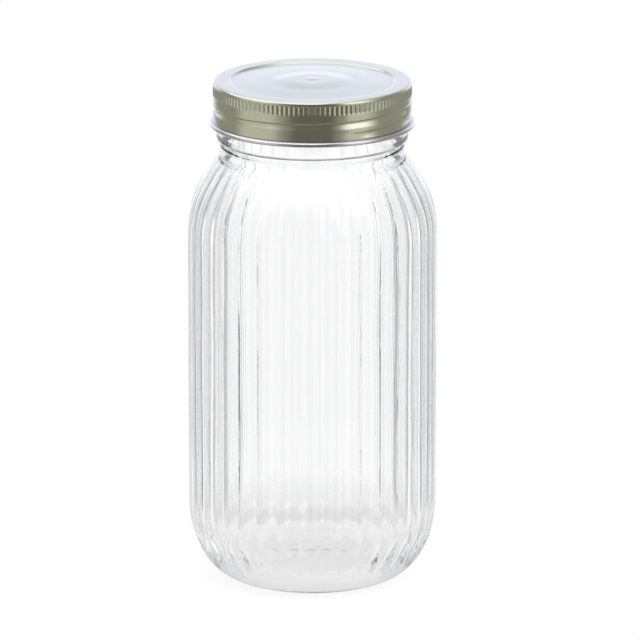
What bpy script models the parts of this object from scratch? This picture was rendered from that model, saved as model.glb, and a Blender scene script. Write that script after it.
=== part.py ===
"""Wide-mouth preserving jar of clear fluted glass with a one-piece gold screw cap.

Metres, +Z up. The jar stands on z = 0 with its axis on the Z axis and its front facing -Y.
Three separate pieces: the glass jar, the pressed metal cap and the sealing ring inside the cap.
The thread is right-handed, and the cap is stored screwed home.
"""

import math

import bmesh
import bpy
from mathutils import Matrix

for old in list(bpy.data.objects):
    bpy.data.objects.remove(old, do_unlink=True)

# Glass body, outside
BODY_RADIUS = 0.0542          # over the sharp ridges between the flutes
BASE_RING_RADIUS = 0.0315     # outer edge of the flat ring that the jar stands on
BASE_RING_WIDTH = 0.0030
PUSH_UP = 0.0022              # how far the middle of the underside rises
HEEL_HEIGHT = 0.0346          # rounded foot of the body
SIDE_HEIGHT = 0.1201          # straight part between heel and shoulder
SHOULDER_RADIUS = 0.0469      # radius of the shoulder's arc
NECK_RADIUS = 0.0400
NECK_COVE_RADIUS = 0.0053     # hollow fillet from the shoulder up into the neck
NECK_BAND = 0.0023            # plain upright band above the fillet
NECK_STEP_RISE = 0.0021       # above the band the neck slopes in over this height
NECK_STEP_IN = 0.0018         # and by this much, down to a groove

# Flutes
FLUTE_COUNT = 36
FLUTE_STEPS = 4               # facets across one flute
FLUTE_DEPTH = 0.0010
FLUTE_FIRST_RIDGE_DEG = 3.5   # the ridge nearest the front, measured towards +X
FLUTE_FOOT_DEG = 46.0         # where on the heel's curve the flutes run out
FLUTE_TOP_DEG = 14.0          # where on the neck's fillet they run out

# Glass inside
WALL = 0.0027                 # at the bottom of a flute
FLOOR = 0.0070
FLOOR_RADIUS = 0.0290         # level part of the floor inside
MOUTH_WALL = 0.0041           # from the bore just under the rim to the foot of the thread
NECK_WALL = 0.0044            # from the narrowest part of the bore to the plain band of the neck
NECK_BORE_FILLET = 0.0080

# Glass finish that the cap screws on to
BEAD_OVERHANG = 0.0035        # the bead under the cap stands out over the neck's groove
BEAD_RISE = 0.0031            # height of its rounded underside
BEAD_HEIGHT = 0.0045          # upright part of the bead
BEAD_STEP = 0.0003            # from the bead in to the threaded wall
FINISH_HEIGHT = 0.0251        # from the neck's groove to the rim
RIM_LAND = 0.0020             # flat top of the rim
RIM_EDGE = 0.0014             # height over which the rim's edges are rounded

# Thread
THREAD_LEAD = 0.00508         # rise in one turn
THREAD_DEPTH = 0.0011         # of the glass thread
THREAD_FOOT = 0.00115         # half width of the glass thread at its root
THREAD_CREST = 0.00030        # half width at its crest
THREAD_TURNS = 1.55
THREAD_TOP_TURN = 1.45        # its upper end, in turns above the lower end of the cap's bead
THREAD_RUNOUT = 0.08          # turns over which an end fades away
THREAD_RIM_DROP = 0.00345     # upper end of the glass thread, below the rim
THREAD_SIDE_GAP = 0.00045     # thread crest to the inside of the skirt
THREAD_SEAT = 0.00195         # the cap's bead runs this far under the glass thread

# Cap
SHEET = 0.00030
CAP_BEAD_DEPTH = 0.0012       # of the helical bead rolled into the skirt
CAP_BEAD_FOOT = 0.00130       # half width outside, at the skirt
CAP_BEAD_CREST = 0.00035      # half width outside, at the bottom of the bead
CAP_BEAD_FLARE = 0.00020      # the bead is wider inside by this much on each side
CAP_BEAD_TURNS = 1.20
CAP_BEAD_START_DEG = 15.0     # lower end of the bead, from the front towards +X
CAP_SKIRT = 0.0197            # overall height
CAP_EDGE_IN = 0.0010          # rounded top edge, inwards
CAP_EDGE_DOWN = 0.0011        # and downwards
CAP_RIM_WIDTH = 0.0059        # flat ring around the sunk panel
CAP_PANEL_DROP = 0.0008
CAP_PANEL_SLOPE = 0.0014      # width of the step down to the panel
CAP_BUTTON_RADIUS = 0.0185    # foot of the raised middle
CAP_BUTTON_TOP = 0.0115       # radius of its level top
CAP_BUTTON_RISE = 0.0013      # it stands a little above the flat ring
CAP_NUB_RADIUS = 0.0038
CAP_NUB_RISE = 0.00025
KNURL_COUNT = 130
KNURL_DEPTH = 0.00025
KNURL_HEIGHT = 0.0052
KNURL_LEAD_IN = 0.0004
KNURL_BAND_WALL = 0.00045     # skirt thickness over the ridges of the knurling
SKIRT_STEP = 0.0003           # height of the small step inside, under the knurled band
CURL_HEIGHT = 0.0022          # rolled edge at the bottom
CURL_OUT = 0.0013             # it stands out over the skirt by this much
CURL_THREAD_GAP = 0.0004      # its inside passes the thread crest with this gap
CURL_NECK = 0.0012            # the skirt draws in to the roll over this height

# Sealing ring
SEAL_GAP = 0.0003             # to the glass below and the cap above
SEAL_THICK = 0.0008
SEAL_WIDTH = 0.0051
SEAL_SIDE_GAP = 0.00085       # to the skirt around it

# Facets around
BODY_STEPS = FLUTE_COUNT * FLUTE_STEPS
FINISH_STEPS = BODY_STEPS // 2
INSIDE_STEPS = FINISH_STEPS // 2
KNURL_STEPS = KNURL_COUNT * 2
CAP_STEPS = KNURL_STEPS // 5
SEAL_STEPS = 48

FRONT = -math.pi / 2
QUARTER = math.pi / 2
TURN = 2 * math.pi

# Places along a curve, as shares of the whole curve
HEEL_ROW_shares = (0.0, 0.04, 0.10, 0.18, 0.40, 0.70)
HEEL_PLAIN_shares = (0.0, 0.34, 0.68)
SHOULDER_ROW_shares = (0.0, 0.26, 0.52, 0.74, 0.90)
COVE_ROW_shares = (0.0, 0.42, 0.76, 1.0)
INNER_HEEL_shares = (0.0, 0.22, 0.44, 0.66, 0.84)
INNER_SHOULDER_shares = (0.0, 0.25, 0.5, 0.75)
INNER_NECK_shares = (0.0, 0.5, 1.0)
BEAD_ROUND_shares = (0.0, 0.33, 0.67, 1.0)

# Corners as shares of their width and height
NECK_STEP_shares = ((0.0, 0.0), (0.18, 0.10), (1.0, 1.0))
RIM_OUTER_shares = ((1.0, 1.0), (0.78, 0.42), (0.30, 0.08), (0.0, 0.0))
RIM_INNER_shares = ((0.0, 0.0), (0.62, 0.24), (1.0, 1.0))
PUSH_UP_shares = ((1.0, 0.0), (0.93, 0.42), (0.62, 0.86))
CAP_EDGE_shares = ((0.0, 0.0), (0.42, 0.09), (0.86, 0.48), (1.0, 1.0))
CAP_EDGE_INNER_shares = ((0.35, 0.0), (0.80, 0.20), (1.0, 0.60))
PANEL_STEP_shares = ((0.0, 0.0), (0.22, 0.14), (0.74, 0.84), (1.0, 1.0))
BUTTON_SIDE_shares = ((0.0, 0.0), (0.30, 0.22), (0.70, 0.80), (1.0, 1.0))
CURL_OUTER_shares = ((0.34, 1.02), (0.62, 0.98), (0.90, 0.80), (1.0, 0.50), (0.90, 0.20))
CURL_UNDER_shares = ((0.60, 0.0), (0.28, 0.04), (0.05, 0.26), (0.0, 0.55), (0.0, 1.15))
SEAL_OUTLINE_shares = ((0.0, 0.3), (0.06, 0.0), (0.94, 0.0), (1.0, 0.3), (1.0, 0.7), (0.94, 1.0),
                       (0.06, 1.0), (0.0, 0.7))
NUB_INNER_share = 0.6
ROW_MERGE_share = 0.25        # a thread's row this near a wall's end, as a share of its flank, joins the end

# Sizes that follow from the ones above
SIDE_TOP = HEEL_HEIGHT + SIDE_HEIGHT
ARC_AXIS = BODY_RADIUS - SHOULDER_RADIUS
INSIDE_RADIUS = BODY_RADIUS - FLUTE_DEPTH - WALL
INSIDE_ARC = SHOULDER_RADIUS - FLUTE_DEPTH - WALL


def fillet_top(arc, fillet, neck):
    """Height where a fillet that runs from the shoulder's arc into an upright neck ends."""
    return SIDE_TOP + math.sqrt((arc + fillet) ** 2 - (neck + fillet - ARC_AXIS) ** 2)


def fillet_angle(arc, fillet, neck):
    """Angle on the arc where that fillet starts."""
    return math.acos((neck + fillet - ARC_AXIS) / (arc + fillet))


COVE_TOP = fillet_top(SHOULDER_RADIUS, NECK_COVE_RADIUS, NECK_RADIUS)
COVE_ANGLE = fillet_angle(SHOULDER_RADIUS, NECK_COVE_RADIUS, NECK_RADIUS)
NECK_BORE_RADIUS = NECK_RADIUS - NECK_WALL
BORE_TOP = fillet_top(INSIDE_ARC, NECK_BORE_FILLET, NECK_BORE_RADIUS)
BORE_ANGLE = fillet_angle(INSIDE_ARC, NECK_BORE_FILLET, NECK_BORE_RADIUS)

BAND_TOP = COVE_TOP + NECK_BAND
GROOVE_Z = BAND_TOP + NECK_STEP_RISE
GROOVE_RADIUS = NECK_RADIUS - NECK_STEP_IN
BEAD_RADIUS = GROOVE_RADIUS + BEAD_OVERHANG
BEAD_LOW = GROOVE_Z + BEAD_RISE
BEAD_TOP = BEAD_LOW + BEAD_HEIGHT
FINISH_RADIUS = BEAD_RADIUS - BEAD_STEP
RIM_Z = GROOVE_Z + FINISH_HEIGHT
MOUTH_RADIUS = FINISH_RADIUS - MOUTH_WALL
RIM_MIDDLE = (FINISH_RADIUS + MOUTH_RADIUS) / 2
LAND_OUTER = RIM_MIDDLE + RIM_LAND / 2
LAND_INNER = RIM_MIDDLE - RIM_LAND / 2
THREAD_RADIUS = FINISH_RADIUS + THREAD_DEPTH

SKIRT_BORE = THREAD_RADIUS + THREAD_SIDE_GAP
CAP_RADIUS = SKIRT_BORE + SHEET
BAND_BORE = CAP_RADIUS - KNURL_BAND_WALL
SEAL_LOW = RIM_Z + SEAL_GAP
CAP_TOP = SEAL_LOW + SEAL_THICK + SEAL_GAP + SHEET
CAP_LOW = CAP_TOP - CAP_SKIRT
KNURL_TOP = CAP_TOP - CAP_EDGE_DOWN
KNURL_LOW = KNURL_TOP - KNURL_HEIGHT
CURL_BORE = THREAD_RADIUS + CURL_THREAD_GAP
CURL_WIDTH = CAP_RADIUS + CURL_OUT - CURL_BORE
SKIRT_LOW = CAP_LOW + CURL_HEIGHT + CURL_NECK

RIDGE_ANGLE = FRONT + math.radians(FLUTE_FIRST_RIDGE_DEG)
BEAD_ANGLE = FRONT + math.radians(CAP_BEAD_START_DEG)
THREAD_END_Z = RIM_Z - THREAD_RIM_DROP
THREAD_START_Z = THREAD_END_Z - THREAD_TOP_TURN * THREAD_LEAD
CAP_BEAD_START_Z = THREAD_START_Z - THREAD_SEAT


def ring(bm, radius, height, count, start):
    """Vertices of a level circle."""
    step = TURN / count
    return [
        bm.verts.new((radius * math.cos(start + step * i), radius * math.sin(start + step * i), height))
        for i in range(count)
    ]


def add_face(bm, corners):
    """A face over the corners, less any that repeat."""
    kept = []
    for corner in corners:
        if corner not in kept:
            kept.append(corner)
    if len(kept) > 2:
        bm.faces.new(kept)


def fan(bm, coarse, fine):
    """Joins two rings where the fine one has a whole number of steps for each coarse step."""
    ratio = len(fine) // len(coarse)
    for i, here in enumerate(coarse):
        there = coarse[(i + 1) % len(coarse)]
        span = [fine[(i * ratio + k) % len(fine)] for k in range(ratio + 1)]
        half = (ratio + 1) // 2
        for k in range(half):
            add_face(bm, (here, span[k], span[k + 1]))
        add_face(bm, (here, span[half], there))
        for k in range(half, ratio):
            add_face(bm, (there, span[k], span[k + 1]))


def bridge(bm, lower, upper):
    """Joins two rings of vertices, which may differ in number by a whole factor."""
    if len(lower) < len(upper):
        fan(bm, lower, upper)
    elif len(lower) > len(upper):
        fan(bm, upper, lower)
    else:
        for i in range(len(lower)):
            k = (i + 1) % len(lower)
            add_face(bm, (lower[i], lower[k], upper[k], upper[i]))


def skin(bm, rings):
    for lower, upper in zip(rings, rings[1:]):
        bridge(bm, lower, upper)


def cap_end(bm, rim, height):
    """Closes a ring with a fan to a point on the axis."""
    middle = bm.verts.new((0.0, 0.0, height))
    for i in range(len(rim)):
        bm.faces.new((rim[i], rim[(i + 1) % len(rim)], middle))


def between(start, end, shares):
    return [start + (end - start) * share for share in shares]


def runout(turn, first, last):
    """Height share of a thread at a place along it, fading at both ends."""
    rise = min(turn - first, last - turn) / THREAD_RUNOUT
    return max(0.0, min(1.0, rise))


def threaded_wall(bm, count, start, turn_angle, turn_z, low, high, radius, depth, foot, crest, first, last):
    """Cylindrical wall from low to high with a helical ridge (depth above 0) or bead (below 0).

    The helix passes height turn_z at the angle turn_angle. Rows of vertices follow it, so the
    ridge keeps its section. Returns the bottom and the top ring.
    """
    offsets = (-foot, -crest, crest, foot)
    below = math.ceil((turn_z - low) / THREAD_LEAD) + 2
    above = math.ceil((high - turn_z) / THREAD_LEAD) + 2
    merge = (foot - crest) * ROW_MERGE_share
    bottom = ring(bm, radius, low, count, start)
    top = ring(bm, radius, high, count, start)
    columns = []
    for i in range(count):
        angle = start + TURN * i / count
        column = []
        for lap in range(-below, above + 1):
            turn = (angle - turn_angle) / TURN + lap
            middle = turn_z + THREAD_LEAD * turn
            for offset in offsets:
                height = middle + offset
                if height < low + merge:
                    column.append(bottom[i])
                elif height > high - merge:
                    column.append(top[i])
                else:
                    out = radius
                    if abs(offset) < foot:
                        out = radius + depth * runout(turn, first, last)
                    column.append(bm.verts.new((out * math.cos(angle), out * math.sin(angle), height)))
        columns.append(column)
    lap_rows = len(offsets)
    for i, here in enumerate(columns):
        there = columns[(i + 1) % count]
        if i + 1 == count:
            there = there[lap_rows:] + [top[0]] * lap_rows
        for k in range(len(here) - 1):
            add_face(bm, (here[k], there[k], there[k + 1], here[k + 1]))
    return bottom, top


def finish(bm, name, colour, metallic, roughness, transmission, origin_z, sharp_deg):
    """Turns a closed bmesh into a named object whose origin is on the jar's axis."""
    bmesh.ops.recalc_face_normals(bm, faces=bm.faces)
    mesh = bpy.data.meshes.new(name)
    bm.to_mesh(mesh)
    bm.free()
    mesh.transform(Matrix.Translation((0.0, 0.0, -origin_z)))
    mesh.shade_smooth()
    mesh.set_sharp_from_angle(angle=math.radians(sharp_deg))
    material = bpy.data.materials.new(name)
    material.use_nodes = True
    shader = material.node_tree.nodes["Principled BSDF"]
    shader.inputs["Base Color"].default_value = colour
    shader.inputs["Metallic"].default_value = metallic
    shader.inputs["Roughness"].default_value = roughness
    shader.inputs["Transmission Weight"].default_value = transmission
    mesh.materials.append(material)
    piece = bpy.data.objects.new(name, mesh)
    piece.location = (0.0, 0.0, origin_z)
    bpy.context.collection.objects.link(piece)
    return piece


# Glass jar


def heel_point(angle):
    """Point and outward normal on the heel, from the base ring (0) up to the side (quarter turn)."""
    wide = BODY_RADIUS - BASE_RING_RADIUS
    out = HEEL_HEIGHT * math.sin(angle)
    down = wide * math.cos(angle)
    size = math.hypot(out, down)
    radius = BASE_RING_RADIUS + wide * math.sin(angle)
    height = HEEL_HEIGHT - HEEL_HEIGHT * math.cos(angle)
    return radius, height, out / size, -down / size


def shoulder_point(angle):
    radius = ARC_AXIS + SHOULDER_RADIUS * math.cos(angle)
    height = SIDE_TOP + SHOULDER_RADIUS * math.sin(angle)
    return radius, height, math.cos(angle), math.sin(angle)


def cove_point(angle):
    radius = NECK_RADIUS + NECK_COVE_RADIUS - NECK_COVE_RADIUS * math.cos(angle)
    height = COVE_TOP - NECK_COVE_RADIUS * math.sin(angle)
    return radius, height, math.cos(angle), math.sin(angle)


def fluted_rows():
    """Points up the fluted part of the body, each with its normal."""
    foot = math.radians(FLUTE_FOOT_DEG)
    top = math.radians(FLUTE_TOP_DEG)
    rows = [heel_point(angle) for angle in between(foot, QUARTER, HEEL_ROW_shares)]
    rows.append(heel_point(QUARTER))
    rows += [shoulder_point(angle) for angle in between(0.0, COVE_ANGLE, SHOULDER_ROW_shares)]
    rows += [cove_point(angle) for angle in between(COVE_ANGLE, top, COVE_ROW_shares)]
    return rows


def flute_cut(across, from_end, radius):
    """Depth of a flute, across from -1 (ridge) to 1, with a round end of half the flute's width."""
    half_width = math.pi * radius / FLUTE_COUNT
    end = max(0.0, 1.0 - from_end / half_width)
    depth = FLUTE_DEPTH * radius / BODY_RADIUS
    return depth * max(0.0, 1.0 - across * across - end * end)


def fluted_rings(bm):
    rows = fluted_rows()
    along = [0.0]
    for here, there in zip(rows, rows[1:]):
        along.append(along[-1] + math.hypot(there[0] - here[0], there[1] - here[1]))
    rings = []
    for (radius, height, out, up), place in zip(rows, along):
        from_end = min(place, along[-1] - place)
        verts = []
        for i in range(BODY_STEPS):
            across = 2.0 * (i % FLUTE_STEPS) / FLUTE_STEPS - 1.0
            cut = flute_cut(across, from_end, radius)
            angle = RIDGE_ANGLE + TURN * i / BODY_STEPS
            at = radius - cut * out
            verts.append(bm.verts.new((at * math.cos(angle), at * math.sin(angle), height - cut * up)))
        rings.append(verts)
    return rings


def make_jar():
    bm = bmesh.new()

    # Underside and the plain foot of the heel
    hollow = BASE_RING_RADIUS - BASE_RING_WIDTH
    under = [
        ring(bm, hollow * out, PUSH_UP * up, INSIDE_STEPS, RIDGE_ANGLE)
        for out, up in reversed(PUSH_UP_shares)
    ]
    cap_end(bm, under[0], PUSH_UP)
    heel = []
    for angle in between(0.0, math.radians(FLUTE_FOOT_DEG), HEEL_PLAIN_shares):
        radius, height, out, up = heel_point(angle)
        heel.append(ring(bm, radius, height, FINISH_STEPS, RIDGE_ANGLE))

    body = fluted_rings(bm)

    # Neck, groove and the bead under the cap
    neck = []
    neck.append(ring(bm, NECK_RADIUS, COVE_TOP, FINISH_STEPS, RIDGE_ANGLE))
    for inward, up in NECK_STEP_shares:
        neck.append(ring(bm, NECK_RADIUS - NECK_STEP_IN * inward, BAND_TOP + NECK_STEP_RISE * up,
                         FINISH_STEPS, RIDGE_ANGLE))
    for angle in between(0.0, QUARTER, BEAD_ROUND_shares)[1:]:
        neck.append(ring(bm, GROOVE_RADIUS + BEAD_OVERHANG * math.sin(angle),
                         BEAD_LOW - BEAD_RISE * math.cos(angle), FINISH_STEPS, RIDGE_ANGLE))
    neck.append(ring(bm, BEAD_RADIUS, BEAD_TOP, FINISH_STEPS, RIDGE_ANGLE))

    # Threaded finish
    low, high = threaded_wall(
        bm, FINISH_STEPS, RIDGE_ANGLE, BEAD_ANGLE, THREAD_START_Z, BEAD_TOP + BEAD_STEP, RIM_Z - RIM_EDGE,
        FINISH_RADIUS, THREAD_DEPTH, THREAD_FOOT, THREAD_CREST,
        THREAD_TOP_TURN - THREAD_TURNS, THREAD_TOP_TURN,
    )

    # Rim and the bore
    rim = []
    for out, down in RIM_OUTER_shares[1:]:
        rim.append(ring(bm, LAND_OUTER + (FINISH_RADIUS - LAND_OUTER) * out, RIM_Z - RIM_EDGE * down,
                        FINISH_STEPS, RIDGE_ANGLE))
    for inward, down in RIM_INNER_shares:
        rim.append(ring(bm, LAND_INNER - (LAND_INNER - MOUTH_RADIUS) * inward, RIM_Z - RIM_EDGE * down,
                        FINISH_STEPS, RIDGE_ANGLE))

    # Inside, from the neck down to the floor
    inside = []
    for angle in between(0.0, BORE_ANGLE, INNER_NECK_shares):
        inside.append(ring(bm, NECK_BORE_RADIUS + NECK_BORE_FILLET - NECK_BORE_FILLET * math.cos(angle),
                           BORE_TOP - NECK_BORE_FILLET * math.sin(angle), INSIDE_STEPS, RIDGE_ANGLE))
    for angle in between(0.0, BORE_ANGLE, reversed(INNER_SHOULDER_shares)):
        inside.append(ring(bm, ARC_AXIS + INSIDE_ARC * math.cos(angle),
                           SIDE_TOP + INSIDE_ARC * math.sin(angle), INSIDE_STEPS, RIDGE_ANGLE))
    for angle in between(QUARTER, 0.0, INNER_HEEL_shares):
        inside.append(ring(bm, FLOOR_RADIUS + (INSIDE_RADIUS - FLOOR_RADIUS) * math.sin(angle),
                           HEEL_HEIGHT - (HEEL_HEIGHT - FLOOR) * math.cos(angle), INSIDE_STEPS, RIDGE_ANGLE))
    inside.append(ring(bm, FLOOR_RADIUS, FLOOR, INSIDE_STEPS, RIDGE_ANGLE))
    cap_end(bm, inside[-1], FLOOR)

    skin(bm, under + heel + body + neck + [low])
    skin(bm, [high] + rim + inside)
    return finish(bm, "glass_jar", (0.93, 0.96, 0.95, 1.0), 0.0, 0.02, 1.0, 0.0, 28.0)


# Screw cap


def cap_ring(bm, radius, height):
    return ring(bm, radius, height, CAP_STEPS, BEAD_ANGLE)


def knurl_ring(bm, height):
    step = TURN / KNURL_STEPS
    verts = []
    for i in range(KNURL_STEPS):
        radius = CAP_RADIUS - KNURL_DEPTH * (i % 2)
        angle = BEAD_ANGLE + step * i
        verts.append(bm.verts.new((radius * math.cos(angle), radius * math.sin(angle), height)))
    return verts


def top_outline():
    """Upper surface of the cap from near the axis to the start of the rounded edge."""
    panel = CAP_TOP - CAP_PANEL_DROP
    button = panel + CAP_BUTTON_RISE
    rim_outer = CAP_RADIUS - CAP_EDGE_IN
    rim_inner = rim_outer - CAP_RIM_WIDTH
    step_foot = rim_inner - CAP_PANEL_SLOPE
    points = [(CAP_NUB_RADIUS * NUB_INNER_share, button + CAP_NUB_RISE), (CAP_NUB_RADIUS, button)]
    for out, down in BUTTON_SIDE_shares:
        points.append((CAP_BUTTON_TOP + (CAP_BUTTON_RADIUS - CAP_BUTTON_TOP) * out,
                       button - CAP_BUTTON_RISE * down))
    for out, up in PANEL_STEP_shares:
        points.append((step_foot + CAP_PANEL_SLOPE * out, panel + CAP_PANEL_DROP * up))
    points.append((rim_outer, CAP_TOP))
    return points


def sheet_inside(points):
    """The same outline one sheet thickness below, measured square to it."""
    inner = []
    for i, (radius, height) in enumerate(points):
        before = points[max(i - 1, 0)]
        after = points[min(i + 1, len(points) - 1)]
        along = after[0] - before[0]
        rise = after[1] - before[1]
        size = math.hypot(along, rise)
        inner.append((radius + SHEET * rise / size, height - SHEET * along / size))
    return inner


def make_cap():
    bm = bmesh.new()
    outline = top_outline()
    button_top = CAP_TOP - CAP_PANEL_DROP + CAP_BUTTON_RISE + CAP_NUB_RISE

    # Upper surface, rounded edge and knurled band
    outer = [cap_ring(bm, radius, height) for radius, height in outline]
    cap_end(bm, outer[0], button_top)
    for out, down in CAP_EDGE_shares[1:]:
        outer.append(cap_ring(bm, CAP_RADIUS - CAP_EDGE_IN * (1.0 - out), CAP_TOP - CAP_EDGE_DOWN * down))
    outer.append(knurl_ring(bm, KNURL_TOP - KNURL_LEAD_IN))
    outer.append(knurl_ring(bm, KNURL_LOW + KNURL_LEAD_IN))

    # Skirt with its helical bead, outside
    low, high = threaded_wall(
        bm, CAP_STEPS, BEAD_ANGLE, BEAD_ANGLE, CAP_BEAD_START_Z, SKIRT_LOW, KNURL_LOW,
        CAP_RADIUS, -CAP_BEAD_DEPTH, CAP_BEAD_FOOT, CAP_BEAD_CREST, 0.0, CAP_BEAD_TURNS,
    )

    # Rolled edge, then the skirt's inside
    curl = [
        cap_ring(bm, CURL_BORE + CURL_WIDTH * out, CAP_LOW + CURL_HEIGHT * up)
        for out, up in CURL_OUTER_shares + CURL_UNDER_shares
    ]
    inner_low, inner_high = threaded_wall(
        bm, CAP_STEPS, BEAD_ANGLE, BEAD_ANGLE, CAP_BEAD_START_Z, SKIRT_LOW, KNURL_LOW + SKIRT_STEP,
        SKIRT_BORE, -CAP_BEAD_DEPTH, CAP_BEAD_FOOT + CAP_BEAD_FLARE, CAP_BEAD_CREST + CAP_BEAD_FLARE,
        0.0, CAP_BEAD_TURNS,
    )
    inner = [cap_ring(bm, BAND_BORE, KNURL_LOW + 2 * SKIRT_STEP)]
    ceiling = CAP_TOP - SHEET
    for out, down in reversed(CAP_EDGE_INNER_shares):
        inner.append(cap_ring(bm, BAND_BORE - CAP_EDGE_IN * (1.0 - out), ceiling - CAP_EDGE_DOWN * down))
    under = sheet_inside(outline)[:-1]
    inner += [cap_ring(bm, radius, height) for radius, height in reversed(under)]
    cap_end(bm, inner[-1], button_top - SHEET)

    skin(bm, outer + [high])
    skin(bm, [low] + curl + [inner_low])
    skin(bm, [inner_high] + inner)
    return finish(bm, "screw_cap", (0.62, 0.60, 0.44, 1.0), 1.0, 0.3, 0.0, RIM_Z, 35.0)


# Sealing ring


def make_seal():
    bm = bmesh.new()
    outer = BAND_BORE - SEAL_SIDE_GAP
    rings = [
        ring(bm, outer - SEAL_WIDTH * (1.0 - out), SEAL_LOW + SEAL_THICK * up, SEAL_STEPS, FRONT)
        for out, up in SEAL_OUTLINE_shares
    ]
    skin(bm, rings + [rings[0]])
    return finish(bm, "sealing_ring", (0.80, 0.79, 0.74, 1.0), 0.0, 0.5, 0.0, RIM_Z, 30.0)


make_jar()
make_cap()
make_seal()
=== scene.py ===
"""Looks of the preserving jar: fine meshes and materials for its three pieces, with camera, light and floor.

Metres, +Z up, the front of the jar faces -Y. Heights run along the jar's axis, from the plane it stands on.
"""

import math

import bmesh
import bpy
import numpy as np
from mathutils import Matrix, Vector


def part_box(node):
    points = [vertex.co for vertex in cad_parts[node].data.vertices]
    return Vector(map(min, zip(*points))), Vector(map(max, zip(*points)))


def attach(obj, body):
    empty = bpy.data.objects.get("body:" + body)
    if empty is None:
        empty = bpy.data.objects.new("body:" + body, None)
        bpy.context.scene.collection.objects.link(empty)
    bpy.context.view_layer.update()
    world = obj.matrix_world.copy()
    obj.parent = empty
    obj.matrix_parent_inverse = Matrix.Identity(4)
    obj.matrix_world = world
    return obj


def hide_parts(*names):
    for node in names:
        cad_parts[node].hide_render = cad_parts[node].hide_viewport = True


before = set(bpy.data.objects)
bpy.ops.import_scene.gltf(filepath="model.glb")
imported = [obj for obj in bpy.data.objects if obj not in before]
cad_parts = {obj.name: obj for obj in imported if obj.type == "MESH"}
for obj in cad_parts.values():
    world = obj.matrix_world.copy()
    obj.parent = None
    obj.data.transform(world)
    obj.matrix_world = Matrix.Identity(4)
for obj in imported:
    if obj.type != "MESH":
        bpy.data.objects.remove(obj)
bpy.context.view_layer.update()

TURN = 2 * math.pi
HALF_TURN_DEG = 180.0
QUARTER = math.pi / 2
FRONT = -QUARTER
MM = 0.001


def widest(node):
    """Largest distance of a node's surface from the jar's axis."""
    return max(math.hypot(v.co.x, v.co.y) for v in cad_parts[node].data.vertices)


# Driving sizes, from the frame
BODY_RADIUS = widest("glass_jar")
CAP_WIDEST = widest("screw_cap")
SEAL_RADIUS = widest("sealing_ring")
RIM_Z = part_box("glass_jar")[1].z
CAP_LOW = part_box("screw_cap")[0].z
CAP_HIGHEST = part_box("screw_cap")[1].z
SEAL_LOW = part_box("sealing_ring")[0].z
SEAL_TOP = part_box("sealing_ring")[1].z

# Glass body, outside
BASE_RING_RADIUS = 31.5 * MM
BASE_RING_WIDTH = 3.0 * MM
BASE_CORNER = 1.1 * MM
PUSH_UP = 0.8 * MM
UNDER_shares = (0.12, 0.3, 0.5, 0.68, 0.8, 0.88, 0.94, 0.98)
HEEL_HEIGHT = 34.6 * MM
HEEL_START_DEG = 1.5
HEEL_FINE_DEG = 12.0
SIDE_TOP = 154.7 * MM
SHOULDER_RADIUS = 46.9 * MM
SHOULDER_FINE_DEG = 4.0
NECK_RADIUS = 40.0 * MM
NECK_COVE_RADIUS = 5.3 * MM
COVE_LAST_DEG = 7.0
NECK_BAND = 2.3 * MM
NECK_STEP_RISE = 2.1 * MM
NECK_STEP_IN = 1.8 * MM
NECK_STEP_shares = (0.3, 0.22)
NECK_ROUND = 0.5 * MM
JOIN = 0.05 * MM

# Flutes
FLUTE_COUNT = 36
FLUTE_DEPTH = 1.0 * MM
FLUTE_FIRST_RIDGE_DEG = 3.5
FLUTE_FOOT_DEG = 42.0
FLUTE_TOP_DEG = 14.0
RIDGE_ROUND_share = 0.05
END_ROUND_share = 0.03
FLUTE_FADE = 14.0 * MM
FOOT_FADE = 12.0 * MM
ACROSS_shares = (0.0, 0.02, 0.05, 0.10, 0.18, 0.30, 0.48, 0.72)

# Glass inside
WALL = 2.7 * MM
FLOOR = 5.0 * MM
FLOOR_RADIUS = 29.0 * MM
MOUTH_WALL = 4.1 * MM
NECK_WALL = 4.4 * MM
NECK_BORE_FILLET = 8.0 * MM
MOUTH_TAPER = 0.2 * MM
NECK_BORE_shares = (0.12, 0.3, 0.5, 0.7, 0.88)
FLOOR_shares = (1.0, 0.85, 0.65, 0.45, 0.25, 0.1)
RIPPLE = 0.10 * MM
RIPPLE_END = 20.0 * MM
RIPPLE_FADE = 25.0 * MM
# Of each wave: crests around, radians for a metre along, start in radians, share of the size
RIPPLE_WAVES = ((7, 31.0, 0.4, 0.9), (11, -47.0, 1.9, 0.8), (17, 83.0, 4.1, 0.6),
                (23, -118.0, 2.7, 0.4), (5, 163.0, 5.3, 0.35))

# Glass finish
BEAD_OVERHANG = 3.5 * MM
BEAD_RISE = 2.5 * MM
BEAD_HEIGHT = 5.1 * MM
BEAD_STEP = 0.3 * MM
BEAD_FLAT = 1.6 * MM
BEAD_EDGE = 0.2 * MM
BEAD_ROUND = 0.4 * MM
FINISH_START = 0.6 * MM
RIM_LAND = 2.0 * MM
RIM_EDGE = 1.4 * MM
RIM_EDGE_share = 0.6
RIM_ROUND = 0.7 * MM
RIM_DEPTH = 4 * RIM_EDGE
FINISH_HEIGHT = 25.1 * MM

# Thread
THREAD_LEAD = 5.08 * MM
THREAD_DEPTH = 1.05 * MM
THREAD_FOOT = 1.15 * MM
THREAD_TURNS = 1.55
THREAD_TOP_TURN = 1.45
THREAD_RUNOUT = 0.08
THREAD_RIM_DROP = 3.45 * MM
THREAD_SEAT = 1.95 * MM
THREAD_START = 0.7 * MM
THREAD_ROUNDNESS = 0.8
THREAD_shares = (-1.25, -1.0, -0.93, -0.8, -0.6, -0.3, 0.0, 0.3, 0.6, 0.8, 0.93, 1.0, 1.25)

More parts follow.
